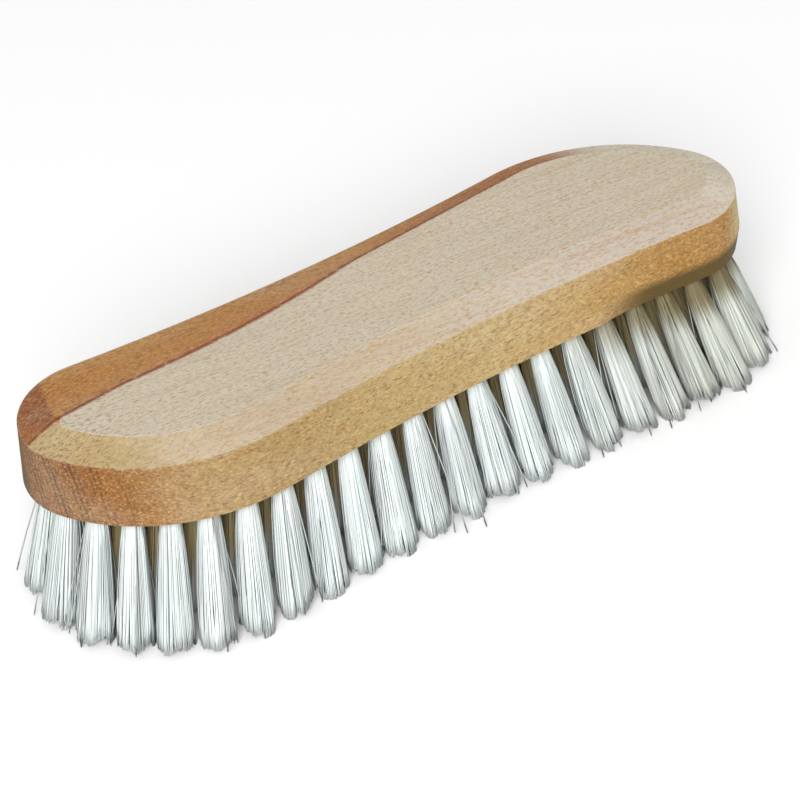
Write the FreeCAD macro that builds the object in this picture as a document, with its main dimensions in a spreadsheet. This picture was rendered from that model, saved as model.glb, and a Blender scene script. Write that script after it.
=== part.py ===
import FreeCAD, Part
import math
import os
import Sketcher
from FreeCAD import Placement, Rotation, Vector

# Driving dimensions: millimetres, and degrees where the name ends in turn or splay. The block's length,
# width and radii are those of the wall's upper edge, and the wall flares down to the underside.
dimensions = {
    # S-shaped block
    "block_length": 200,
    "block_width": 63.2,
    "nose_radius": 18.4,
    "bulge_radius": 51.5,
    "waist_radius": 650,
    "wall_height": 17.2,
    "wall_flare": 2,
    # bevel round the top, and the long facet that widens it on one side
    "bevel_width": 7.7,
    "bevel_rise": 3.5,
    "facet_setback": 4.2,
    "facet_tip_radius": 2.5,
    "facet_tip_run": 3.3,
    "crease_turn": 196,
    # stopped bevel under each end
    "end_bevel_height": 6,
    "end_bevel_depth": 1.3,
    "end_bevel_run": 17,
    "end_bevel_turn": 147,
    "end_bevel_cutter_radius": 80,
    # drilled holes and tufts
    "edge_margin": 5.5,
    "ring_spacing": 9.8,
    "cross_spacing": 10.5,
    "hole_diameter": 5,
    "hole_depth": 12,
    "tuft_clearance": 0.1,
    "tip_diameter": 8.8,
    "bristle_length": 38.8,
    "side_splay": 17,
    "end_splay": 18,
    "end_run": 45,
    "end_inset": 3,
    "end_bow": 2.5,
    # flat wire anchors that hold the folded tufts
    "anchor_length": 6.4,
    "anchor_height": 1.8,
    "anchor_thickness": 0.4,
    "anchor_clearance": 0.1,
    "fold_height": 1.6,
    # how far every cut runs past the face that it cuts
    "overrun": 2,
}

# The plan is a chain of tangent arcs, the same after half a turn about the middle: a tight nose
# at each end, a wide bulge beside it and a shallow hollow waist between them. These are the
# centres of the right nose, the front bulge, which lies left of the middle, and the front waist.
bulge_and_waist = "(bulge_radius + waist_radius)"
nose_and_waist = "(nose_radius + waist_radius)"
derived = {
    "nose_x": "block_length / 2 - nose_radius",
    "bulge_y": "bulge_radius - block_width / 2",
    "bulge_x": "sqrt((bulge_radius - nose_radius)^2 - bulge_y^2) - nose_x",
    "gap_x": "nose_x - bulge_x",
    "gap": "sqrt(gap_x^2 + bulge_y^2)",
    "gap_along": f"(gap^2 + {bulge_and_waist}^2 - {nose_and_waist}^2) / (2 * gap)",
    "gap_aside": f"sqrt({bulge_and_waist}^2 - gap_along^2)",
    "waist_x": "bulge_x + (gap_x * gap_along - bulge_y * gap_aside) / gap",
    "waist_y": "bulge_y - (bulge_y * gap_along + gap_x * gap_aside) / gap",
    # where the long facet begins, short of the bulge on its side
    "facet_reach": f"-(bulge_radius * waist_x + bulge_x * waist_radius) / {bulge_and_waist} - facet_setback",
    # how deep the anchor lies, a tuft's radius in its hole, and a flare long enough to be trimmed
    # level at any lean
    "anchor_level": "hole_depth - fold_height - anchor_height",
    "root_radius": "hole_diameter / 2 - tuft_clearance",
    "flare_length": "bristle_length / cos(end_splay) / cos(side_splay) "
                    "+ tip_diameter / 2 * (tan(end_splay) + tan(side_splay)) + overrun",
}

doc = FreeCAD.newDocument("scrub_brush")
sheet = doc.addObject("Spreadsheet::Sheet", "sizes")
cells = {alias: str(value) for alias, value in dimensions.items()}
cells.update({alias: f"={formula}" for alias, formula in derived.items()})
for row, (alias, content) in enumerate(cells.items(), start=1):
    sheet.set(f"A{row}", alias)
    sheet.setAlias(f"B{row}", alias)
    sheet.set(f"B{row}", content)
doc.recompute()


def size(alias):
    return float(sheet.get(alias))


def unit(angle):
    return Vector(math.cos(angle), math.sin(angle), 0)


def direction(vector):
    return math.atan2(vector.y, vector.x) % (2 * math.pi)


half_turn = math.pi
nose_radius = size("nose_radius")
bulge_radius = size("bulge_radius")
waist_radius = size("waist_radius")
nose = Vector(-size("nose_x"), 0, 0)
bulge = Vector(size("bulge_x"), size("bulge_y"), 0)
waist = Vector(size("waist_x"), size("waist_y"), 0)

# Directions, from each centre, of the points where the arcs meet
nose_to_waist = direction(-waist - nose)
nose_to_bulge = direction(nose - bulge)
bulge_to_waist = direction(waist - bulge)
waist_to_bulge = direction(bulge - waist)
waist_to_nose = direction(-nose - waist)


# Sketches: the ends of a curve and its centre, and the origin and X axis of the plane
begin, finish, middle = range(1, 4)
origin = (-1, begin)
x_axis = (-1,)


def plane_sketch(body, name, role):
    sketch = body.newObject("Sketcher::SketchObject", name)
    plane = next(item for item in body.Origin.OriginFeatures if item.Role == role)
    sketch.AttachmentSupport = [(plane, "")]
    sketch.MapMode = "FlatFace"
    return sketch


def arc(centre, radius, start, end):
    return Part.ArcOfCircle(Part.Circle(centre, Vector(0, 0, 1), radius), start, end)


def drive(sketch, kind, place, expression):
    # a dimension is drawn at its true size, and its expression then drives it
    curve = sketch.Geometry[place[0]]
    if kind == "Radius":
        drawn = curve.Radius
    elif kind == "Distance":
        drawn = curve.StartPoint.distanceToPoint(curve.EndPoint)
    elif place[1] == middle:
        drawn = curve.Center.x if kind == "DistanceX" else curve.Center.y
    else:
        point = curve.StartPoint if place[1] == begin else curve.EndPoint
        drawn = point.x if kind == "DistanceX" else point.y
    index = sketch.addConstraint(Sketcher.Constraint(kind, *place, drawn))
    sketch.setExpression(f"Constraints[{index}]", expression)


def drive_point(sketch, place, x_expression, y_expression):
    drive(sketch, "DistanceX", place, x_expression)
    drive(sketch, "DistanceY", place, y_expression)


def join(sketch, kind, first, second):
    sketch.addConstraint(Sketcher.Constraint(kind, *first, *second))


def angle_on_back_waist(radius, across):
    # the back waist hangs below its centre: the direction of its point at a place along X
    return half_turn + math.acos((-waist.x - across) / radius)


# Both plans are eight curves in the same order, so that the bevel can run from one to the other.
# The waist curves and the straight edge are drawn against that order.
ends = [(begin, finish)] * 3 + [(finish, begin)] + [(begin, finish)] * 2 + [(finish, begin)] * 2


def join_in_order(sketch, kind, firsts):
    for first in firsts:
        second = (first + 1) % len(ends)
        join(sketch, kind, (first, ends[first][1]), (second, ends[second][0]))


def wall_outline(body, name, growth, growth_expression):
    # nose up to the crease of the bevel, rest of the nose, bulge, waist, and the same turned round,
    # with the back waist split where the long facet begins
    sketch = plane_sketch(body, name, "XY_Plane")
    crease = math.radians(size("crease_turn"))
    nose_outer = nose_radius + growth
    bulge_outer = bulge_radius + growth
    waist_outer = waist_radius - growth
    facet = angle_on_back_waist(waist_outer, size("facet_reach"))
    sketch.addGeometry([
        arc(nose, nose_outer, nose_to_waist, crease),
        arc(nose, nose_outer, crease, nose_to_bulge),
        arc(bulge, bulge_outer, nose_to_bulge, bulge_to_waist),
        arc(waist, waist_outer, waist_to_nose, waist_to_bulge),
        arc(-nose, nose_outer, nose_to_waist + half_turn, nose_to_bulge + half_turn),
        arc(-bulge, bulge_outer, nose_to_bulge - half_turn, bulge_to_waist - half_turn),
        arc(-waist, waist_outer, facet, waist_to_bulge + half_turn),
        arc(-waist, waist_outer, waist_to_nose + half_turn, facet),
    ])
    join_in_order(sketch, "Tangent", (1, 2, 3, 4, 5, 7))
    join_in_order(sketch, "Coincident", (0, 6))
    join(sketch, "Coincident", (0, middle), (1, middle))
    join(sketch, "Coincident", (6, middle), (7, middle))
    for curve in (0, 4):
        drive(sketch, "Radius", (curve,), f"sizes.nose_radius + {growth_expression}")
        join(sketch, "PointOnObject", (curve, middle), x_axis)
    for curve in (2, 5):
        drive(sketch, "Radius", (curve,), f"sizes.bulge_radius + {growth_expression}")
    for curve in (3, 6):
        drive(sketch, "Radius", (curve,), f"sizes.waist_radius - {growth_expression}")
    drive(sketch, "DistanceX", (0, middle), "-sizes.nose_x")
    drive(sketch, "DistanceX", (4, middle), "sizes.nose_x")
    drive(sketch, "DistanceY", (2, middle), "sizes.bulge_y")
    drive(sketch, "DistanceY", (5, middle), "-sizes.bulge_y")
    crease_y = f"(sizes.nose_radius + {growth_expression}) * sin(sizes.crease_turn)"
    drive(sketch, "DistanceY", (0, finish), crease_y)
    drive(sketch, "DistanceX", (6, begin), "sizes.facet_reach")
    return sketch


def flat_outline(body, name):
    # one bevel inside the wall, but with a straight edge that leaves the back waist and cuts the
    # left end back to a pointed tip on the front bulge
    sketch = plane_sketch(body, name, "XY_Plane")
    inset = size("bevel_width")
    tip_radius = size("facet_tip_radius")
    bulge_inner = bulge_radius - inset
    waist_inner = waist_radius + inset
    facet = angle_on_back_waist(waist_inner, size("facet_reach"))
    facet_point = -waist + unit(facet) * waist_inner
    outward = -unit(facet)
    leftward = Vector(-outward.y, outward.x, 0)
    # the tip's arc touches the straight edge and, from inside, the bulge
    offset = facet_point - outward * tip_radius - bulge
    backward = offset.dot(leftward)
    reach = math.sqrt(backward ** 2 - offset.dot(offset) + (bulge_inner - tip_radius) ** 2) - backward
    tip = bulge + offset + leftward * reach
    tip_to_bulge = direction(tip - bulge)
    tip_side = tip_to_bulge + 2 * math.asin(size("facet_tip_run") / 2 / bulge_inner)
    sketch.addGeometry([
        arc(tip, tip_radius, direction(outward), tip_to_bulge),
        arc(bulge, bulge_inner, tip_to_bulge, tip_side),
        arc(bulge, bulge_inner, tip_side, bulge_to_waist),
        arc(waist, waist_inner, waist_to_nose, waist_to_bulge),
        arc(-nose, nose_radius - inset, nose_to_waist + half_turn, nose_to_bulge + half_turn),
        arc(-bulge, bulge_inner, nose_to_bulge - half_turn, bulge_to_waist - half_turn),
        arc(-waist, waist_inner, facet, waist_to_bulge + half_turn),
        Part.LineSegment(tip + outward * tip_radius, facet_point),
    ])
    join_in_order(sketch, "Tangent", (0, 2, 3, 4, 5, 6, 7))
    join_in_order(sketch, "Coincident", (1,))
    join(sketch, "Coincident", (1, middle), (2, middle))
    drive(sketch, "Radius", (0,), "sizes.facet_tip_radius")
    drive(sketch, "Radius", (3,), "sizes.waist_radius + sizes.bevel_width")
    drive(sketch, "Radius", (4,), "sizes.nose_radius - sizes.bevel_width")
    for curve in (2, 5):
        drive(sketch, "Radius", (curve,), "sizes.bulge_radius - sizes.bevel_width")
    drive(sketch, "DistanceX", (4, middle), "sizes.nose_x")
    join(sketch, "PointOnObject", (4, middle), x_axis)
    drive(sketch, "DistanceY", (5, middle), "-sizes.bulge_y")
    for curve, turned in ((5, 2), (3, 6)):
        join(sketch, "Symmetric", (curve, middle, turned, middle), origin)
    drive(sketch, "Distance", (1, begin, 1, finish), "sizes.facet_tip_run")
    drive(sketch, "DistanceX", (6, begin), "sizes.facet_reach")
    return sketch


def end_bevel_path(body):
    # outside edge of the bevel under the left end: it swings in to the underside's nose, goes round
    # the back corner and along the waist, and swings out again
    sketch = plane_sketch(body, "end_bevel_path", "XY_Plane")
    swing = size("end_bevel_cutter_radius")
    touch = math.radians(size("end_bevel_turn"))
    nose_outer = nose_radius + size("wall_flare")
    waist_outer = waist_radius - size("wall_flare")
    stop = angle_on_back_waist(waist_outer, nose.x + size("end_bevel_run"))
    swing_in = nose + unit(touch) * (nose_outer + swing)
    swing_out = -waist + unit(stop) * (waist_outer - swing)
    sketch.addGeometry([
        arc(swing_in, swing, -half_turn / 2, touch - half_turn),
        arc(nose, nose_outer, nose_to_waist, touch),
        arc(-waist, waist_outer, waist_to_nose + half_turn, stop),
        arc(swing_out, swing, stop, 2 * half_turn),
    ])
    join(sketch, "Tangent", (0, finish), (1, finish))
    join(sketch, "Tangent", (1, begin), (2, begin))
    join(sketch, "Tangent", (2, finish), (3, begin))
    join(sketch, "Vertical", (0, begin), (0, middle))
    join(sketch, "Horizontal", (3, finish), (3, middle))
    for curve in (0, 3):
        drive(sketch, "Radius", (curve,), "sizes.end_bevel_cutter_radius")
    join(sketch, "PointOnObject", (1, middle), x_axis)
    drive(sketch, "Radius", (1,), "sizes.nose_radius + sizes.wall_flare")
    drive(sketch, "DistanceX", (1, middle), "-sizes.nose_x")
    drive_point(sketch, (2, middle), "-sizes.waist_x", "-sizes.waist_y")
    touch_y = "(sizes.nose_radius + sizes.wall_flare) * sin(sizes.end_bevel_turn)"
    drive(sketch, "DistanceY", (1, finish), touch_y)
    drive(sketch, "DistanceX", (2, finish), "sizes.end_bevel_run - sizes.nose_x")
    return sketch, swing_in


def end_bevel_section(body, swing_in):
    # the triangle that the bevel takes off a lower edge, run past the wall and the underside, drawn
    # where the path begins; its slope leaves the flared wall at the height of the bevel
    sketch = plane_sketch(body, "end_bevel_section", "YZ_Plane")
    past = size("overrun")
    height = size("end_bevel_height")
    depth = size("end_bevel_depth")
    slope = (depth - size("wall_flare") * height / size("wall_height")) / height
    edge = swing_in.y - size("end_bevel_cutter_radius")
    corner = Vector(edge + past, -past, 0)
    inner = Vector(edge - depth - past * slope, -past, 0)
    upper = Vector(edge + past, (depth + past) / slope, 0)
    corners = [corner, inner, upper]
    sketch.addGeometry([
        Part.LineSegment(start, end) for start, end in zip(corners, corners[1:] + corners[:1])
    ])
    for first, second in ((0, 1), (1, 2), (2, 0)):
        join(sketch, "Coincident", (first, finish), (second, begin))
    sketch.addConstraint(Sketcher.Constraint("Horizontal", 0))
    sketch.addConstraint(Sketcher.Constraint("Vertical", 2))
    swing_reach = "(sizes.nose_radius + sizes.wall_flare + sizes.end_bevel_cutter_radius)"
    edge_y = f"({swing_reach} * sin(sizes.end_bevel_turn) - sizes.end_bevel_cutter_radius)"
    flare_slope = "sizes.wall_flare / sizes.wall_height"
    bevel_slope = f"(sizes.end_bevel_depth / sizes.end_bevel_height - {flare_slope})"
    drive_point(sketch, (0, begin), f"{edge_y} + sizes.overrun", "-sizes.overrun")
    inner_y = f"{edge_y} - sizes.end_bevel_depth - sizes.overrun * {bevel_slope}"
    drive(sketch, "DistanceX", (0, finish), inner_y)
    upper_z = f"(sizes.end_bevel_depth + sizes.overrun) / {bevel_slope}"
    drive(sketch, "DistanceY", (1, finish), upper_z)
    swing_x = f"{swing_reach} * cos(sizes.end_bevel_turn) - sizes.nose_x"
    sketch.setExpression("AttachmentOffset.Base.z", swing_x)
    return sketch


def block_blank():
    body = doc.addObject("PartDesign::Body", "block_blank")
    body.setExpression("Placement.Base.z", "sizes.bristle_length")
    underside = wall_outline(body, "underside", size("wall_flare"), "sizes.wall_flare")
    wall_top = wall_outline(body, "wall_top", 0, "0")
    wall_top.setExpression("AttachmentOffset.Base.z", "sizes.wall_height")
    flat_top = flat_outline(body, "flat_top")
    flat_top.setExpression("AttachmentOffset.Base.z", "sizes.wall_height + sizes.bevel_rise")
    doc.recompute()
    blank = body.newObject("PartDesign::AdditiveLoft", "bevelled_blank")
    blank.Profile = underside
    blank.Sections = [wall_top, flat_top]
    blank.Ruled = True
    path, swing_in = end_bevel_path(body)
    section = end_bevel_section(body, swing_in)
    doc.recompute()
    bevel = body.newObject("PartDesign::SubtractivePipe", "end_bevel")
    bevel.Profile = section
    bevel.Spine = (path, ["Edge1", "Edge2", "Edge3", "Edge4"])
    doc.recompute()
    both_ends = body.newObject("PartDesign::PolarPattern", "both_ends")
    both_ends.Originals = [bevel]
    upright = next(item for item in body.Origin.OriginFeatures if item.Role == "Z_Axis")
    both_ends.Axis = (upright, [""])
    both_ends.Angle = 360
    both_ends.Occurrences = 2
    body.Tip = both_ends
    doc.recompute()
    return body


# Front half of the ring of outer holes, one margin inside the underside's edge, walked from the left
# tip: the centre of each arc, its radius, and its first and last direction
margin = size("edge_margin") - size("wall_flare")
front_ring = [
    (nose, nose_radius - margin, half_turn, nose_to_bulge),
    (bulge, bulge_radius - margin, nose_to_bulge, bulge_to_waist),
    (waist, waist_radius + margin, waist_to_bulge, waist_to_nose),
    (-nose, nose_radius - margin, nose_to_waist + half_turn, 2 * half_turn),
]
ring_length = sum(radius * abs(end - start) for _, radius, start, end in front_ring)


def on_front_ring(along):
    for centre, radius, start, end in front_ring:
        length = radius * abs(end - start)
        if along < length:
            return centre + unit(start + (end - start) * along / length) * radius
        along -= length


def hole_row(along):
    # A row crosses the block between two opposite holes of the ring, and near the ends of the block it
    # moves in and bows. The tufts fan out: a tuft leans along the block by its distance from the middle
    # of the block and across it by its distance from the middle of its row.
    front = on_front_ring(along)
    across = -on_front_ring(ring_length - along) - front
    nearness = max(0, 1 - min(along, ring_length - along) / size("end_run"))
    inward = Vector(math.copysign(nearness, ring_length - 2 * along), 0, 0)
    end_slope = math.tan(math.radians(size("end_splay"))) / (size("block_length") / 2)
    side_slope = math.tan(math.radians(size("side_splay"))) / (size("block_width") / 2)
    middle_share = 1 / 2
    gaps = round(across.Length / size("cross_spacing"))
    holes = []
    for step in range(gaps + 1):
        share = step / gaps
        shift = size("end_inset") + size("end_bow") * 4 * share * (1 - share)
        mouth = front + across * share + inward * shift
        mouth.z = size("bristle_length")
        lean = Vector(mouth.x * end_slope, across.y * (share - middle_share) * side_slope, 0)
        turn = Rotation(Vector(1, 0, 0), Vector(0, 1, 0), Vector(0, 0, 1) - lean, "ZXY")
        holes.append(Placement(mouth, turn))
    return holes


def solid(kind, name, expressions):
    item = doc.addObject(kind, name)
    for place, expression in expressions.items():
        item.setExpression(place, expression)
    return item


def combine(kind, name, base, tool):
    item = doc.addObject(kind, name)
    item.Base = base
    item.Tool = tool
    return item


def group(name, blank, holes):
    # the same piece set in each of these holes
    item = doc.addObject("Part::Compound", name)
    links = []
    for number, hole in enumerate(holes, start=1):
        link = doc.addObject("App::Link", f"{name}_{number}")
        link.LinkedObject = blank
        link.LinkTransform = True
        link.Placement = hole
        links.append(link)
    item.Links = links
    return item


# One hole, one tuft and one anchor, each set with the mouth of its hole at the origin and the bottom
# of the hole above it
hole = solid("Part::Cylinder", "hole", {
    "Radius": "sizes.hole_diameter / 2",
    "Height": "sizes.hole_depth + sizes.overrun",
    "Placement.Base.z": "-sizes.overrun",
})
anchor = solid("Part::Box", "anchor", {
    "Length": "sizes.anchor_length",
    "Width": "sizes.anchor_thickness",
    "Height": "sizes.anchor_height",
    "Placement.Base.x": "-sizes.anchor_length / 2",
    "Placement.Base.y": "-sizes.anchor_thickness / 2",
    "Placement.Base.z": "sizes.anchor_level",
})
anchor_slot = solid("Part::Box", "anchor_slot", {
    "Length": "sizes.anchor_length + 2 * sizes.anchor_clearance",
    "Width": "sizes.anchor_thickness + 2 * sizes.anchor_clearance",
    "Height": "sizes.anchor_height + 2 * sizes.anchor_clearance",
    "Placement.Base.x": "-sizes.anchor_length / 2 - sizes.anchor_clearance",
    "Placement.Base.y": "-sizes.anchor_thickness / 2 - sizes.anchor_clearance",
    "Placement.Base.z": "sizes.anchor_level - sizes.anchor_clearance",
})
tuft_root = solid("Part::Cylinder", "tuft_root", {
    "Radius": "sizes.root_radius",
    "Height": "sizes.hole_depth - sizes.tuft_clearance",
})
flare_slope = "(sizes.tip_diameter / 2 - sizes.root_radius) / sizes.bristle_length"
tuft_flare = solid("Part::Cone", "tuft_flare", {
    "Radius1": f"sizes.root_radius + {flare_slope} * sizes.flare_length",
    "Radius2": "sizes.root_radius",
    "Height": "sizes.flare_length",
    "Placement.Base.z": "-sizes.flare_length",
})
drill = combine("Part::Fuse", "drill", hole, anchor_slot)
folded_tuft = combine("Part::Fuse", "folded_tuft", tuft_root, tuft_flare)
tuft = combine("Part::Cut", "tuft", folded_tuft, anchor_slot)

# Everything below the level to which the tufts are trimmed
trimmings = solid("Part::Box", "trimmings", {
    "Length": "2 * sizes.block_length",
    "Width": "2 * sizes.block_width",
    "Height": "sizes.flare_length",
    "Placement.Base.x": "-sizes.block_length",
    "Placement.Base.y": "-sizes.block_width",
    "Placement.Base.z": "-sizes.flare_length",
})

row_count = round(ring_length / size("ring_spacing"))
rows = [hole_row(ring_length * (2 * index + 1) / (2 * row_count)) for index in range(row_count)]
drills = group("drills", drill, sum(rows, []))
pieces = [combine("Part::Cut", "block", block_blank(), drills)]
for number, holes in enumerate(rows, start=1):
    untrimmed = group(f"untrimmed_row_{number:02d}", tuft, holes)
    pieces.append(combine("Part::Cut", f"tuft_row_{number:02d}", untrimmed, trimmings))
    pieces.append(group(f"anchor_row_{number:02d}", anchor, holes))
doc.recompute()

for item in doc.Objects:
    if "Invalid" in item.State or "Error" in item.State:
        raise RuntimeError(f"{item.Name} did not build: {item.State}")
for piece in pieces:
    if piece.Shape.isNull() or not piece.Shape.isValid():
        raise RuntimeError(f"{piece.Label} has no valid shape")

os.makedirs("parts", exist_ok=True)
for piece in pieces:
    piece.Shape.exportStep(f"parts/{piece.Label}.step")
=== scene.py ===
import math
import bpy
import numpy as np
from mathutils import Matrix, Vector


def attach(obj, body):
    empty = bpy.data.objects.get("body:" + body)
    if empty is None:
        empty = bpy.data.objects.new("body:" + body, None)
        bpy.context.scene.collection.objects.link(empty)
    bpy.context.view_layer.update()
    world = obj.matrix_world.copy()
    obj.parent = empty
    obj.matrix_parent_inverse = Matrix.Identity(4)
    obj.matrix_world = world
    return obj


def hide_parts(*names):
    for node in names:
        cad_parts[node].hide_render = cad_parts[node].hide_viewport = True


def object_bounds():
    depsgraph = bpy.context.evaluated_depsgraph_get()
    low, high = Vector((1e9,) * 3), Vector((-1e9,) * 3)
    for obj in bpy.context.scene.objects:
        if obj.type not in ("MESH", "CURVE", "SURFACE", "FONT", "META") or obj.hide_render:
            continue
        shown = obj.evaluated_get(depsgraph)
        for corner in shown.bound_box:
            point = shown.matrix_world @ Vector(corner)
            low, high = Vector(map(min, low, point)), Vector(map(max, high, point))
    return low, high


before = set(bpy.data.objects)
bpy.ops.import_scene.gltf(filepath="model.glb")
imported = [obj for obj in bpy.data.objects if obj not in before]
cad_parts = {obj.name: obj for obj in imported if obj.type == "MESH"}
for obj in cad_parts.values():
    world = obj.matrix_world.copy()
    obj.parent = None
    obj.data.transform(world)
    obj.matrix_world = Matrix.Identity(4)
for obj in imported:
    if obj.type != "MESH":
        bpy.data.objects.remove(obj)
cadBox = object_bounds()
scene = bpy.context.scene
mm = 0.001
fullTurn = 2 * math.pi


# sRGB 0..255 to the linear value that a colour socket takes: a straight line near black, a power above
def tone(red, green, blue):
    share = np.array([red, green, blue]) / 255
    low, high = share / 12.92, ((share + 0.055) / 1.055) ** 2.4
    return (*np.where(share < 0.04045, low, high).tolist(), 1.0)


# one socket of a node tree: + - * / on it add Math nodes, node() adds any other kind
class Wire:
    def __init__(self, tree, socket=None):
        self.tree = tree
        self.socket = socket

    # settings first, a ramp's stops among them, then a value or a link for each input; gives one output
    def node(self, kind, settings=None, values=None, out=0):
        made = self.tree.nodes.new(kind)
        for name, value in (settings or {}).items():
            if name == "stops":
                ramp = made.color_ramp.elements
                for number, (where, shade) in enumerate(value):
                    stop = ramp[number] if number < len(ramp) else ramp.new(where)
                    stop.position, stop.color = where, shade
            else:
                setattr(made, name, value)
        for key, value in (values or {}).items():
            if isinstance(value, Wire):
                self.tree.links.new(value.socket, made.inputs[key])
            else:
                made.inputs[key].default_value = value
        return Wire(self.tree, made.outputs[out])

    # one Math node on these terms
    def calc(self, operation, *terms):
        return self.node("ShaderNodeMath", {"operation": operation}, dict(enumerate(terms)))

    def __add__(self, other):
        return self.calc("ADD", self, other)

    def __sub__(self, other):
        return self.calc("SUBTRACT", self, other)

    def __rsub__(self, other):
        return self.calc("SUBTRACT", other, self)

    def __mul__(self, other):
        return self.calc("MULTIPLY", self, other)

    def __truediv__(self, other):
        return self.calc("DIVIDE", self, other)

    __radd__ = __add__
    __rmul__ = __mul__


# 0 below low, 1 above high, an S-curve between them
def ease(wire, low, high):
    return wire.node("ShaderNodeMapRange", {"interpolation_type": "SMOOTHSTEP"},
                     {"Value": wire, "From Min": low, "From Max": high})


# a vector times one number per axis
def stretch(vector, x, y, z):
    return vector.node("ShaderNodeVectorMath", {"operation": "MULTIPLY"}, {0: vector, 1: (x, y, z)})


# fractal noise of a vector times one number per axis: a small number draws the pattern out along that axis
def noise(vector, x, y, z, detail, rough):
    return vector.node("ShaderNodeTexNoise", {}, {
        "Vector": stretch(vector, x, y, z), "Scale": 1.0, "Detail": detail, "Roughness": rough})


# stripes over a distance: a sine of this gap plus a share of a slower one and some noise, eased over a span
def bands(distance, ragged, gap, slower, share, span):
    fine, slow = (distance.calc("SINE", distance * (fullTurn / gap / times)) for times in (1, slower))
    return ease(fine + slow * share + ragged, *span)


# share of colour b over colour a
def blend(share, a, b):
    return share.node("ShaderNodeMix", {"data_type": "RGBA"}, {0: share, 6: a, 7: b}, 2)


# a new material, its Principled node with the fixed values set, and a Wire to start from
def newMaterial(name, **fixed):
    material = bpy.data.materials.new(name)
    material.use_nodes = True
    tree = material.node_tree
    shader = tree.nodes["Principled BSDF"]
    for socket, value in fixed.items():
        shader.inputs[socket.replace("_", " ")].default_value = value
    return material, shader, Wire(tree)


# links each wire to the shader's input of that name
def feed(shader, **wires):
    for socket, wire in wires.items():
        wire.tree.links.new(wire.socket, shader.inputs[socket.replace("_", " ")])


# a normal tilted by the slope of a height, from the surface's own normal or from another one
def bump(height, strength, distance, facing=None):
    values = {"Strength": strength, "Distance": distance, "Height": height}
    return height.node("ShaderNodeBump", {}, values | ({"Normal": facing} if facing else {}))


# point of the object, in millimetres
def spot(wire):
    return stretch(wire.node("ShaderNodeTexCoord", out="Object"), 1 / mm, 1 / mm, 1 / mm)


# the three parts of a vector
def parts(vector):
    return [vector.node("ShaderNodeSeparateXYZ", {}, {0: vector}, axis) for axis in range(3)]


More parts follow.
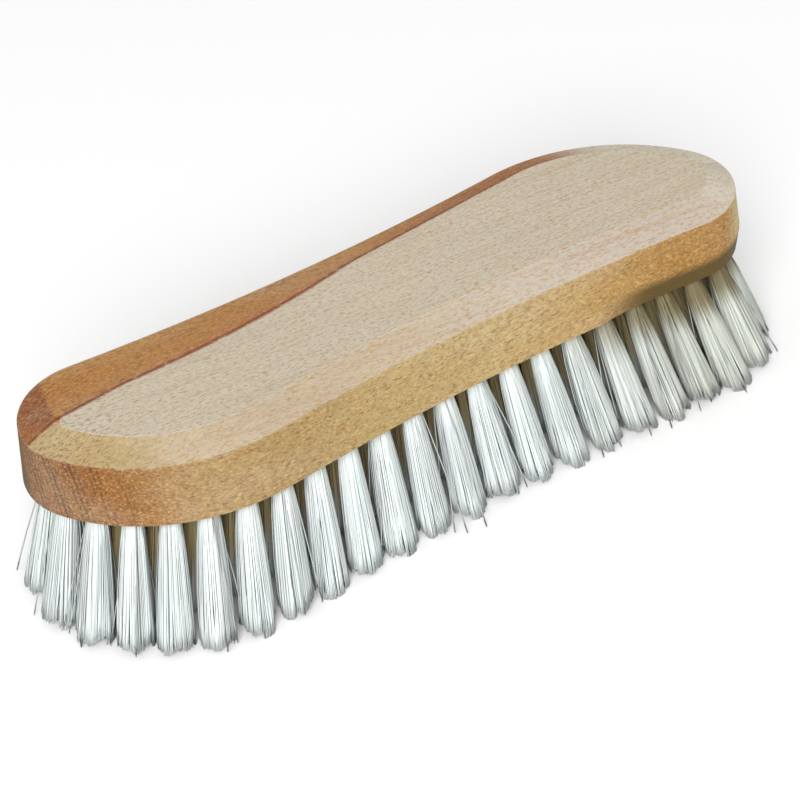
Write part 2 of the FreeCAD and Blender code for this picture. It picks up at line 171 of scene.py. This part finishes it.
# block: pale beech, oranger on the facet and walls, browner towards the left end, with painted light and shade
# in these tones; lengths in millimetres
wood = dict(
    # flat top, regions of the bevel, facet and nose, toned partly as painted light and shade by which way each
    # faces
    top=tone(193, 184, 166), bevel=tone(180, 166, 145), pink=tone(182, 173, 163), yellow=tone(166, 146, 105),
    far=tone(222, 216, 198), facet=tone(182, 126, 68), narrow=tone(164, 102, 60), nose=tone(144, 88, 56),
    # lines, flecks, specks, wear, and a dark olive for painted shade
    line=tone(116, 54, 36), stripe=tone(100, 62, 40), endLine=tone(42, 31, 24), fleck=tone(170, 130, 78),
    ochre=tone(178, 140, 80), cream=tone(214, 186, 128), shadeBand=tone(76, 62, 28), worn=tone(216, 204, 182),
    # wall, by place along the block: partly painted shade, darker towards the left end, and painted light,
    # paler at the right nose
    halfRun=104,
    wall=[(-104, tone(124, 77, 36)), (-96, tone(130, 82, 40)), (-86, tone(142, 94, 47)),
          (-62, tone(152, 127, 83)), (-15, tone(168, 148, 102)), (20, tone(173, 153, 107)),
          (45, tone(166, 138, 88)), (72, tone(152, 113, 58)), (89, tone(154, 114, 60)),
          (97, tone(204, 190, 144))],
    # the fold on the nose and the facet's inner line: a point, its slope, and how the colour's line bows
    tip=(-90.9, -2.3), tipSlope=0.17, patchSkew=0.1, foldShift=0.2,
    crease=(-88.7, -2.36), creaseSlope=0.18765, bowMiddle=-38, bowHalf=34, bowDepth=2.3, bowBack=0.4,
    # heights between which each comes in
    height=dict(shadeBandOut=(43.2, 47.0), wornIn=(55.3, 55.95), bevel=(55.95, 56.1), wornOut=(56.0, 56.25),
                ochreOut=(56.6, 58.8), flat=(59.4, 59.48)),
    # places along the block between which each comes in or goes out
    place=dict(lessEnds=(-97, -86), lineIn=(-92, -88), paleFleck=(-92, -64), foldOut=(-91, -89),
               patchOut=(-90.5, -88.5), redIn=(-90, -70), facetToneIn=(-84, -76), yellowOut=(-80, -60),
               pink=(-15, 30), facetToneOut=(0, 8), narrow=(0, 36), lineOut=(44, 60), undercut=(46, 66),
               endsOut=(50, 90), facetOut=(58, 76), farEnd=(70, 88)),
    # parts of the normal between which each comes in
    facing=dict(behind=(0.03, 0.10), farEnd=(-0.02, 0.36), ends=(0.03, 0.4), side=(-0.35, 0.35),
                rimBack=(-0.1, 0.24), rimLeft=(0.5, 0.8)),
    # distances from the facet's inner line or the nose's fold between which each comes in or goes out
    beside=dict(patch=(-0.3, 0.3), facetToneOut=(-0.3, 0.2), redIn=(-3.0, -0.2), redOut=(0.0, 0.4),
                lineOut=(0.2, 1.0), foldOut=(0.2, 0.9)),
    # noises: one number each for X, Y and Z, detail, roughness
    noise=dict(wander=(0.02, 0.05, 0.05, 2.0, 0.5), streak=(0.03, 0.9, 0.9, 4.0, 0.6),
               cloud=(0.02, 0.06, 0.06, 3.0, 0.5), rough=(0.5, 0.5, 0.5, 3.0, 0.7),
               dash=(0.62, 2.0, 2.0, 2.0, 0.55), longDash=(0.3, 1.9, 1.9, 2.0, 0.55),
               speck=(0.9, 1.8, 1.8, 3.0, 0.65), pore=(1.6, 5.0, 5.0, 3.0, 0.6)),
    # noise values between which each comes in or goes out
    level=dict(streak=(0.45, 0.75), cloud=(0.42, 0.7), dash=(0.52, 0.66), longDash=(0.61, 0.71),
               dark=(0.52, 0.68), creamOut=(0.34, 0.48), darkMottle=(0.46, 0.7), line=(0.28, 0.5), worn=(0.4, 0.7)),
    # how far noise moves each layer or edge
    ragged=dict(ring=4, ringEdge=3.0, ends=3, endsEdge=2.0, patch=3, yellow=8, ochre=2, line=0.8, shadeBand=1.5,
                rim=0.2),
    # growth layers: their lean as seen from the end, their stripes, and those of the end grain
    ringLean=math.radians(19), ring=dict(gap=1.7, slower=3.7, share=0.8, span=(0.1, 1.3)),
    endSlant=(-0.64, 1.0, -0.29), ends=dict(gap=1.7, slower=4.3, share=0.6, span=(-0.1, 1.3)),
    # share of each over the colour below it, and what a wall, the facet, the patch or an end adds or takes away
    share=dict(far=0.5, ochre=0.4, red=0.5, ring=0.08, ends=0.85, endsRight=0.9, endsLess=0.45, streak=0.18,
               cloud=0.14, dash=0.55, dashWall=0.15, dashFar=0.35, longDash=0.28, longDashBack=0.4,
               longDashWall=0.3, dark=0.45, cream=0.35, darkMottle=0.24, darkMottlePatch=0.3, line=0.8, shadeBand=0.9,
               rim=0.7, worn=0.3),
    roughness=dict(base=0.52, pore=0.16, dash=0.1, worn=0.08),
    relief=dict(pore=0.6, streak=0.6, dash=0.4, strength=0.35, depth=0.0003),
)


# beech: a colour for each region of the form, then growth layers, flecks, dark lines and wear laid over it
def woodMaterial(name):
    material, shader, wire = newMaterial(name, IOR=1.45, Specular_IOR_Level=0.15)
    point = spot(wire)
    x, y, z = parts(point)
    nx, ny = parts(wire.node("ShaderNodeNewGeometry", out="True Normal"))[:2]
    height, place, facing, beside, level, ragged, share = (
        wood[key] for key in ("height", "place", "facing", "beside", "level", "ragged", "share"))
    wander, streak, cloud, rough, dash, longDash, speck, pore = (
        noise(point, *wood["noise"][key])
        for key in ("wander", "streak", "cloud", "rough", "dash", "longDash", "speck", "pore"))
    flat = ease(z, *height["flat"])
    wall = 1 - ease(z, *height["bevel"])
    # regions of the bevel by which way they face, partly painted light and shade: facet behind, far end paler
    # as painted light, dark patch on the nose as painted shade, yellowish front left
    tipX, tipY = wood["tip"]
    behind = ease(ny, *facing["behind"])
    back = behind * (1 - ease(x, *place["facetOut"])) * (1 - wall)
    farEnd = (1 - behind) * ease(nx, *facing["farEnd"]) * ease(x, *place["farEnd"])
    crease = (y - tipY) - (x - tipX) * wood["tipSlope"]
    pastTip = ease(x - y * wood["patchSkew"] + rough * ragged["patch"], *place["patchOut"])
    patch = ease(crease, *beside["patch"]) * (1 - pastTip)
    front = (1 - behind) * (1 - ease(x + rough * ragged["yellow"], *place["yellowOut"]))
    outer = 1 - ease(z + rough * ragged["ochre"], *height["ochreOut"])
    slope = blend(front, blend(ease(x, *place["pink"]), wood["bevel"], wood["pink"]), wood["yellow"])
    # painted light: the bevel behind the right half and round the right end paler
    slope = blend(behind + farEnd * share["far"], slope, wood["far"])
    # partly painted shade: the facet behind darker and oranger, darker still where it narrows
    slope = blend(back, slope, blend(ease(x, *place["narrow"]), wood["facet"], wood["narrow"]))
    slope = blend(back * outer * share["ochre"], slope, wood["ochre"])
    # painted shade: dark patch on the nose's bevel where it faces away from the light
    slope = blend(patch, slope, wood["nose"])
    base = blend(flat, slope, wood["top"])
    # the facet's colour, partly painted shade, ends at a line that bows forward on the flat in its left half,
    # so the flat takes that tone up to the line
    startX, startY = wood["crease"]
    arch = (x - wood["bowMiddle"]) / wood["bowHalf"]
    bow = arch.calc("MAXIMUM", 1 - arch * arch, 0) * wood["bowDepth"] - wood["bowBack"]
    beyond = startY - y + (x - startX) * wood["creaseSlope"] - bow + (rough - 0.5) * ragged["line"]
    facetToneOnFlat = flat * (1 - ease(beyond, *beside["facetToneOut"]))
    facetToneOnFlat = facetToneOnFlat * ease(x, *place["facetToneIn"]) * (1 - ease(x, *place["facetToneOut"]))
    base = blend(facetToneOnFlat, base, wood["narrow"])
    # partly painted shade: a redder strip on the facet along its inner line
    redder = ease(beyond, *beside["redIn"]) * (1 - ease(beyond, *beside["redOut"]))
    redder = redder * ease(x, *place["redIn"]) * (1 - ease(x, *place["lineOut"])) * (1 - wall)
    base = blend(redder * share["red"], base, wood["narrow"])
    # painted light and shade in the wall's tones: darker at the left end, paler at the right nose
    halfRun = wood["halfRun"]
    run = wire.node("ShaderNodeMapRange", {}, {"Value": x, "From Min": -halfRun, "From Max": halfRun})
    stops = [((where + halfRun) / (2 * halfRun), shade) for where, shade in wood["wall"]]
    base = blend(wall, base, wire.node("ShaderNodeValToRGB", {"stops": stops}, {0: run}))
    # growth layers lean and wander: faint streaks on top, dark stripes on the left end
    layer = y * math.cos(wood["ringLean"]) - z * math.sin(wood["ringLean"]) + wander * ragged["ring"]
    stripes = bands(layer, (streak - 0.5) * ragged["ringEdge"], **wood["ring"])
    base = blend(stripes * share["ring"], base, wood["stripe"])
    slant = {0: point, 1: wood["endSlant"]}
    across = point.node("ShaderNodeVectorMath", {"operation": "DOT_PRODUCT"}, slant, 1)
    ends = bands(across + wander * ragged["ends"], (rough - 0.5) * ragged["endsEdge"], **wood["ends"])
    ends = ends * ease(nx * nx, *facing["ends"]) * wall
    ends = ends * (1 - share["endsRight"] * ease(x, *place["endsOut"]))
    ends = ends * (share["ends"] - ease(x, *place["lessEnds"]) * share["endsLess"])
    base = blend(ends, base, wood["endLine"])
    base = blend(ease(streak, *level["streak"]) * share["streak"], base, wood["facet"])
    base = blend(ease(cloud, *level["cloud"]) * share["cloud"], base, wood["worn"])
    # flecks: short thin dashes along the grain, many faint ones and a few strong ones, and specks of two tones
    dash, longDash = ease(dash, *level["dash"]), ease(longDash, *level["longDash"])
    fleck = blend(ease(x, *place["paleFleck"]), wood["stripe"], wood["fleck"])
    base = blend(dash * (share["dash"] + wall * share["dashWall"] - farEnd * share["dashFar"]), base, fleck)
    strong = share["longDash"] + back * share["longDashBack"] + wall * share["longDashWall"]
    base = blend(longDash * strong, base, wood["stripe"])
    dark = blend(wall + back, wood["ochre"], wood["stripe"])
    base = blend(ease(speck, *level["dark"]) * share["dark"], base, dark)
    light = blend(flat, wood["cream"], wood["worn"])
    base = blend((1 - ease(speck, *level["creamOut"])) * share["cream"], base, light)
    # darker mottling on the facet, the walls and the nose patch, not on the flat top
    darkMottle = ((back + wall) * share["darkMottle"] + patch * share["darkMottlePatch"]) * (1 - flat)
    base = blend(ease(rough, *level["darkMottle"]) * darkMottle, base, wood["stripe"])
    # dark broken line along the facet's inner side, and beside the patch on the nose
    inner = 1 - ease(beyond.calc("ABSOLUTE", beyond), *beside["lineOut"])
    inner = inner * (1 - wall) * ease(x, *place["lineIn"]) * (1 - ease(x, *place["lineOut"]))
    off = crease.calc("ABSOLUTE", crease - wood["foldShift"] + (rough - 0.5) * ragged["line"])
    fold = (1 - ease(off, *beside["foldOut"])) * (1 - ease(x, *place["foldOut"])) * (1 - wall) * (1 - flat)
    base = blend((inner + fold) * ease(rough, *level["line"]) * share["line"], base, wood["line"])
    # painted shade: a dark band low on the walls at the front of the right end and behind the left end, where
    # the undercut is in shade, and on the left nose's wall where it turns away from the light
    frontRight = ease(x, *place["undercut"]) * ease(0 - ny, *facing["side"])
    backLeft = ease(0 - x, *place["undercut"]) * ease(ny, *facing["side"])
    undercutShade = 1 - ease(z + rough * ragged["shadeBand"], *height["shadeBandOut"])
    base = blend(undercutShade * (frontRight + backLeft) * wall * share["shadeBand"], base, wood["shadeBand"])
    # painted shade: dark olive along the left nose's wall where it turns away from the light
    rim = ease(ny + rough * ragged["rim"], *facing["rimBack"]) * ease(0 - nx, *facing["rimLeft"]) * wall
    base = blend(rim * share["rim"], base, wood["shadeBand"])
    # pale wear along the wall's upper edge
    edge = ease(z, *height["wornIn"]) * (1 - ease(z, *height["wornOut"]))
    base = blend(edge * ease(rough, *level["worn"]) * share["worn"], base, wood["worn"])
    matt, relief = wood["roughness"], wood["relief"]
    tall = pore * relief["pore"] + streak * relief["streak"]
    tall = tall - dash * relief["dash"] - longDash * relief["dash"]
    feed(shader, Base_Color=base, Normal=bump(tall, relief["strength"], relief["depth"]),
         Roughness=matt["base"] + pore * matt["pore"] + dash * matt["dash"] - edge * matt["worn"])
    return material


# bristles: cool white fibres, with painted shade: khaki deep between the tufts and near the roots, most of all
# at the right end
bristle = dict(
    # pale and shade vary fibre by fibre; dull, root, dim and deep are painted shade
    pale=tone(238, 248, 249), shade=tone(226, 233, 228), dull=tone(206, 208, 188),
    root=tone(158, 146, 104), dim=tone(108, 94, 54), deep=tone(178, 160, 112),
    # places along the block, and shares of a fibre's length, between which each comes in or goes out
    right=(25, 85), dimRight=(32, 62), rootOut=(0.0, 0.24), dimOut=(0.18, 0.5), deepOut=(0.45, 0.95),
    # share of each over the colour below it, and how much lower the root's colour comes at the right
    strandShare=0.7, grainShare=0.2, rightShadeShare=0.55, rootShare=0.5, rootRight=0.4, dimShare=0.85,
    rootLower=0.2, strandShift=0.1,
    grain=(2.0, 2.0, 0.3, 2.0, 0.5), roughBase=0.5, roughGrain=0.2, bumpStrength=0.2, bumpDepth=0.0001,
    oneBody=0.8,  # share of the tuft's own roundness in the shading of its fibres
    # a fibre: how thick, how uneven, corners round it, and its rings below the mouth as shares of the drop
    radius=0.2, uneven=0.2, sides=3, inHole=8, down=(0.01, 0.3, 0.62, 0.86, 1), bend=0.35,
    # a tuft: fibres, those round its rim, bundles, and its radius at the mouth and at the tips
    perTuft=280, rim=84, rimTurn=0.02, rimDepth=0.03, rimLoose=0.3, bundles=9, sunflower=2.4,
    rootRadius=2.3, tipRadius=4.75, endWider=0.9, gather=0.05, gatherTip=0.14, loose=0.2,
    # tips: how unevenly the bundles end, how much their outer fibres are shorter, and the lowest level
    tipLift=3.4, rounded=2.4, lower=1.2, ragged=0.25, lowest=0.05,
    strays=0.03, strayOff=2.4, upward=1.2, seed=700,
    # how khaki the inner tufts are as painted shade, and in rows nearer to an end than this
    inner=1.0, innerEnd=0.6, endNear=0.55,
)


# fibre: pale by strand and grain, then painted shade: duller to the right, khaki at the root and deep inside
# the row
def bristleMaterial(name):
    material, shader, wire = newMaterial(name, IOR=1.5)
    point = spot(wire)
    x = parts(point)[0]
    along, strand, deep = (
        wire.node("ShaderNodeAttribute", {"attribute_name": label}, out="Fac")
        for label in ("along", "strand", "deep"))
    grain = noise(point, *bristle["grain"])
    right = ease(x, *bristle["right"])
    shift = strand * bristle["strandShift"]
    mixed = strand * bristle["strandShare"] + grain * bristle["grainShare"]
    base = blend(mixed, bristle["pale"], bristle["shade"])
    # painted shade: duller, greyer fibres towards the right end
    base = blend(right * bristle["rightShadeShare"], base, bristle["dull"])
    # painted shade: khaki near the root under the block, further down the fibre at the right end
    root = 1 - ease(along - right * bristle["rootLower"] + shift, *bristle["rootOut"])
    base = blend(root * (bristle["rootShare"] + right * bristle["rootRight"]), base, bristle["root"])
    # painted shade: dim olive on the upper part of the fibres at the right end, under the block
    dim = (1 - ease(along + shift, *bristle["dimOut"])) * ease(x, *bristle["dimRight"])
    base = blend(dim * bristle["dimShare"], base, bristle["dim"])
    # painted shade: inner tufts khaki deep in the row, fading towards the tips
    base = blend(deep * (1 - ease(along, *bristle["deepOut"])), base, bristle["deep"])
    # a tuft is shaded more as one body than fibre by fibre
    out = wire.node("ShaderNodeAttribute", {"attribute_name": "out"}, out="Vector")
    toWorld = {"vector_type": "NORMAL", "convert_from": "OBJECT", "convert_to": "WORLD"}
    out = out.node("ShaderNodeVectorTransform", toWorld, {0: out})
    own = wire.node("ShaderNodeNewGeometry", out="Normal")
    both = out.node("ShaderNodeMix", {"data_type": "VECTOR"}, {0: bristle["oneBody"], 4: own, 5: out}, 1)
    both = both.node("ShaderNodeVectorMath", {"operation": "NORMALIZE"}, {0: both})
    feed(shader, Base_Color=base, Roughness=bristle["roughBase"] + grain * bristle["roughGrain"],
         Normal=bump(grain, bristle["bumpStrength"], bristle["bumpDepth"], both))
    return material


# anchors: flat galvanised wire
anchor = dict(
    bright=tone(190, 190, 186), dull=tone(138, 138, 134), drawn=(0.8, 14.0, 14.0, 3.0, 0.5),
    spangle=(1.5, 1.5, 1.5, 2.0, 0.5), drawnShare=0.6, spangleShare=0.4,
    roughBase=0.3, roughDrawn=0.25, bumpStrength=0.25, bumpDepth=0.00005,
)


# zinc: bright to dull by the marks of drawing, along the wire, and by broad spangles
def anchorMaterial(name):
    material, shader, wire = newMaterial(name, Metallic=1.0)
    point = spot(wire)
    drawn, spangle = noise(point, *anchor["drawn"]), noise(point, *anchor["spangle"])
    patchy = drawn * anchor["drawnShare"] + spangle * anchor["spangleShare"]
    feed(shader, Base_Color=blend(patchy, anchor["bright"], anchor["dull"]),
         Roughness=anchor["roughBase"] + drawn * anchor["roughDrawn"],
         Normal=bump(drawn, anchor["bumpStrength"], anchor["bumpDepth"]))
    return material


woodLook = woodMaterial("beech")
bristleLook = bristleMaterial("bristle")
anchorLook = anchorMaterial("galvanised")
for name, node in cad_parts.items():
    if not name.startswith("tuft"):
        node.data.materials.clear()
        node.data.materials.append(woodLook if name == "block" else anchorLook)
print("materials done")

# plan of the block, in millimetres: arcs that touch, the same after half a turn
plan = dict(length=200, width=63.2, nose=18.4, bulge=51.5, waist=650, margin=3.5, underside=38.8)
# rows of tufts: how many, spacing across, splay in degrees, and how the rows near an end are set in and bowed
layout = dict(rows=22, cross=10.5, sideSplay=17, endSplay=18, endRun=45, inset=3, bow=2.5, sideways=0.04)


# point where circles of these radii about a and b meet, on the right of the way from a to b
def meet(a, b, radiusA, radiusB):
    gap = np.linalg.norm(b - a)
    way = (b - a) / gap
    along = (gap ** 2 + radiusA ** 2 - radiusB ** 2) / (2 * gap)
    aside = math.sqrt(radiusA ** 2 - along ** 2)
    return a + way * along + np.array([way[1], -way[0]]) * aside


# angle of a vector from +X, from none to a full turn
def heading(vector):
    return math.atan2(vector[1], vector[0]) % fullTurn


noseCentre = np.array([plan["nose"] - plan["length"] / 2, 0])
bulgeDrop = plan["bulge"] - plan["width"] / 2
bulgeCentre = noseCentre + [math.sqrt((plan["bulge"] - plan["nose"]) ** 2 - bulgeDrop ** 2), bulgeDrop]
waistCentre = meet(bulgeCentre, -noseCentre, plan["bulge"] + plan["waist"], plan["nose"] + plan["waist"])
noseTurn, waistTurn = heading(noseCentre - bulgeCentre), heading(waistCentre - bulgeCentre)
# the ring of outer holes: nose, bulge, waist and nose again, a margin inside the plan
arcCentre = np.array([noseCentre, bulgeCentre, waistCentre, -noseCentre])
arcRadius = np.array([plan["nose"], plan["bulge"], plan["waist"], plan["nose"]])
arcRadius = arcRadius + plan["margin"] * np.array([-1, -1, 1, -1])
waistStart, waistEnd = heading(bulgeCentre - waistCentre), heading(-noseCentre - waistCentre)
arcStart = np.array([math.pi, noseTurn, waistStart, heading(waistCentre + noseCentre)])
arcEnd = np.array([noseTurn, waistTurn, waistEnd, fullTurn])
arcLength = arcRadius * np.abs(arcEnd - arcStart)
arcFrom = np.cumsum(arcLength) - arcLength
ringLength = arcLength.sum()


# point of the ring of outer holes at this length from the left tip, along the front
def onRing(along):
    arc = np.searchsorted(arcFrom, along, side="right") - 1
    turn = arcStart[arc] + (arcEnd[arc] - arcStart[arc]) * (along - arcFrom[arc]) / arcLength[arc]
    return arcCentre[arc] + np.array([math.cos(turn), math.sin(turn)]) * arcRadius[arc]


# mouths of a row's holes and the lean of its tufts, in X and Y per millimetre of drop: a tuft leans in
# proportion to its distance from the middle of the block and of its row, and all of them a little to the right
def tuftRow(index):
    along = ringLength * (index + 0.5) / layout["rows"]
    front = onRing(along)
    across = -onRing(ringLength - along) - front
    near = max(0, 1 - min(along, ringLength - along) / layout["endRun"])
    fanX = math.tan(math.radians(layout["endSplay"])) / (plan["length"] / 2)
    fanY = math.tan(math.radians(layout["sideSplay"])) / (plan["width"] / 2)
    share = np.linspace(0, 1, round(np.linalg.norm(across) / layout["cross"]) + 1)[:, None]
    inward = np.array([math.copysign(near, ringLength - 2 * along), 0])
    mouth = front + across * share + inward * (layout["inset"] + layout["bow"] * 4 * share * (1 - share))
    lean = np.concatenate([mouth[:, :1] * fanX + layout["sideways"], across[1] * (share - 0.5) * fanY], 1)
    return mouth, lean, near


# closed tubes, a circle of corners about each point of many paths; points is tubes x rings x 3
def tubes(points, radius, sides):
    count, rings = points.shape[:2]
    turn = np.arange(sides) * fullTurn / sides
    circle = np.stack([np.cos(turn), -np.sin(turn), np.zeros(sides)], -1)
    corners = points[:, :, None] + circle * radius[:, :, None, None]
    number = np.arange(count * rings * sides).reshape(count, rings, sides)
    after = np.roll(number, -1, 2)
    walls = np.stack([number[:, :-1], after[:, :-1], after[:, 1:], number[:, 1:]], -1).reshape(-1, 4)
    caps = np.concatenate([number[:, 0, ::-1], number[:, -1]])
    return corners.reshape(-1, 3), walls, caps


# one row of tufts: a fibre starts in the hole at its place on a disc and goes down with the tuft's lean; the
# disc widens in proportion to the drop, and the fibre gathers towards its bundle, which ends at its own level
def fibres(mouth, lean, near, seed):
    rng = np.random.default_rng(seed)
    tufts, rim, bundles = len(mouth), bristle["rim"], bristle["bundles"]
    shape = (tufts, bristle["perTuft"])
    turn = rng.uniform(0, fullTurn, shape)
    reach = np.sqrt(rng.uniform(0, 1, shape))
    # the first ones stand side by side round the tuft, the others anywhere inside it
    turn[:, :rim] = np.arange(rim) / rim * fullTurn + rng.normal(0, bristle["rimTurn"], (tufts, rim))
    reach[:, :rim] = 1 - np.abs(rng.normal(0, bristle["rimDepth"], (tufts, rim)))
    disc = reach[..., None] * np.stack([np.cos(turn), np.sin(turn)], -1)
    # hearts of the bundles, spread over the tuft like seeds in a sunflower and turned at random
    heartTurn = np.arange(bundles) * bristle["sunflower"] + rng.uniform(0, fullTurn, (tufts, 1))
    heartReach = np.sqrt((np.arange(bundles) + 0.5) / bundles)
    hearts = np.stack([heartReach * np.cos(heartTurn), heartReach * np.sin(heartTurn)], -1)
    mine = np.linalg.norm(disc[:, :, None] - hearts[:, None], axis=-1).argmin(-1)
    heart = np.take_along_axis(hearts, mine[..., None], 1)
    off = np.linalg.norm(disc - heart, axis=-1)
    # a few stray far, and the rim stays closer than the rest
    stray = rng.uniform(0, 1, (*shape, 1)) < bristle["strays"]
    loose = np.where(np.arange(bristle["perTuft"]) < rim, bristle["rimLoose"], 1.0)[:, None]
    aside = rng.normal(0, 1, (*shape, 2)) * np.where(stray, bristle["strayOff"], bristle["loose"] * loose)
    lift = np.take_along_axis(rng.uniform(0, bristle["tipLift"], (tufts, bundles)), mine, 1)
    tipLevel = lift + off * bristle["rounded"] - bristle["lower"] + rng.normal(0, bristle["ragged"], shape)
    tipLevel = np.clip(tipLevel, bristle["lowest"], None)
    # levels of the rings: one in the hole, the others from its mouth down to the tip
    underside = plan["underside"]
    level = underside - (underside - tipLevel[..., None]) * np.array(bristle["down"])
    level = np.concatenate([np.full((*shape, 1), underside + bristle["inHole"]), level], -1)
    drop = (underside - level)[..., None]
    share = np.clip(drop / underside, 0, 1)
    tipRadius = bristle["tipRadius"] + bristle["endWider"] * near
    spread = bristle["rootRadius"] + (tipRadius - bristle["rootRadius"]) * share
    gather = bristle["gather"] * share + bristle["gatherTip"] * share ** 4
    bend = rng.normal(0, bristle["bend"], (*shape, 1, 2)) * loose[:, None] * 4 * share * (1 - share)
    flat = (mouth[:, None, None] + lean[:, None, None] * drop + bend + aside[:, :, None] * share
            + (disc[:, :, None] + (heart - disc)[:, :, None] * gather) * spread)
    thickest = bristle["radius"] * (1 + bristle["uneven"])
    flat = np.clip(flat, boxLow + thickest, boxHigh - thickest)  # stays inside the CAD box
    points = np.concatenate([flat, level[..., None]], -1).reshape(-1, level.shape[-1], 3)
    thick = bristle["radius"] * rng.uniform(1 - bristle["uneven"], 1 + bristle["uneven"], (len(points), 1))
    thick = np.repeat(thick, level.shape[-1], 1)
    inside = np.full(shape, bristle["inner"] if near < bristle["endNear"] else bristle["innerEnd"])
    inside[[0, -1]] = 0
    out = np.concatenate([disc * ~stray, np.full((*shape, 1), bristle["upward"])], -1).reshape(-1, 3)
    return points, thick, rng.uniform(0, 1, len(points)), share.ravel(), inside.ravel(), out


boxLow, boxHigh = (np.array(corner)[:2] / mm for corner in cadBox)
for index in range(layout["rows"]):
    points, thick, strand, share, inside, out = fibres(*tuftRow(index), bristle["seed"] + index)
    corners, walls, caps = tubes(points, thick, bristle["sides"])
    mesh = bpy.data.meshes.new(f"bristles_{index + 1:02d}")
    mesh.from_pydata((corners * mm).tolist(), [], walls.tolist() + caps.tolist())
    perFibre = points.shape[1] * bristle["sides"]
    for label, value in (("strand", np.repeat(strand, perFibre)), ("deep", np.repeat(inside, perFibre)),
                         ("along", np.repeat(share, bristle["sides"]))):
        mesh.attributes.new(label, "FLOAT", "POINT").data.foreach_set("value", value.astype(np.float32))
    outward = np.repeat(out, perFibre, 0).astype(np.float32).ravel()
    mesh.attributes.new("out", "FLOAT_VECTOR", "POINT").data.foreach_set("vector", outward)
    mesh.shade_smooth()
    mesh.materials.append(bristleLook)
    piece = bpy.data.objects.new(mesh.name, mesh)
    scene.collection.objects.link(piece)
    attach(piece, "root")
    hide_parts(f"tuft_row_{index + 1:02d}")
print("bristles done")

# studio: white floor, soft key from the front left, even fill, a background that looks white
studio = dict(
    floorHalf=4, floorWhite=(0.96, 0.96, 0.96, 1), floorRough=0.9, fill=0.5, background=1.0,
    key=dict(azimuth=-30, elevation=40, distance=3.0, size=1.8, power=92),
    lens=94.41, sensor=36, clip=(0.01, 20),
)
half = studio["floorHalf"]
floorMesh = bpy.data.meshes.new("floor")
floorCorners = [(-half, -half, 0), (half, -half, 0), (half, half, 0), (-half, half, 0)]
floorMesh.from_pydata(floorCorners, [], [(0, 1, 2, 3)])
floorLook = newMaterial("floorWhite", Base_Color=studio["floorWhite"], Roughness=studio["floorRough"])[0]
floorMesh.materials.append(floorLook)
floor = bpy.data.objects.new("floor", floorMesh)
scene.collection.objects.link(floor)

world = bpy.data.worlds.new("studio")
scene.world = world
world.use_nodes = True
sky = Wire(world.node_tree)
straight, mirrored, through = (
    sky.node("ShaderNodeLightPath", out=f"Is {kind} Ray") for kind in ("Camera", "Glossy", "Transmission"))
seen = sky.calc("MINIMUM", straight + mirrored + through, 1)
shine = world.node_tree.nodes["Background"]
shine.inputs["Color"].default_value = (1, 1, 1, 1)
strength = studio["fill"] + seen * (studio["background"] - studio["fill"])
world.node_tree.links.new(strength.socket, shine.inputs["Strength"])


# an area light that faces the origin from a heading and a height, in degrees, at a distance
def areaLight(name, azimuth, elevation, distance, size, power):
    light = bpy.data.lights.new(name, "AREA")
    light.size, light.energy = size, power
    lamp = bpy.data.objects.new(name, light)
    a, e = math.radians(azimuth), math.radians(elevation)
    way = np.array([math.sin(a) * math.cos(e), -math.cos(a) * math.cos(e), math.sin(e)])
    side = np.array([math.cos(a), math.sin(a), 0])
    turned = Matrix(np.stack([side, np.cross(way, side), way], 1).tolist()).to_4x4()
    turned.translation = (way * distance).tolist()
    lamp.matrix_world = turned
    scene.collection.objects.link(lamp)


areaLight("key", **studio["key"])

# camera, matched to the photo
camera = bpy.data.cameras.new("camera")
camera.lens, camera.sensor_width = studio["lens"], studio["sensor"]
camera.clip_start, camera.clip_end = studio["clip"]
eye = bpy.data.objects.new("camera", camera)
eye.matrix_world = Matrix((
    (0.88904, 0.35690, -0.28676, -0.160329),
    (-0.45066, 0.57173, -0.68559, -0.381497),
    (-0.08073, 0.73875, 0.66913, 0.392521),
    (0, 0, 0, 1)))
scene.collection.objects.link(eye)
scene.camera = eye
scene.view_settings.view_transform = "Standard"
print("studio done")
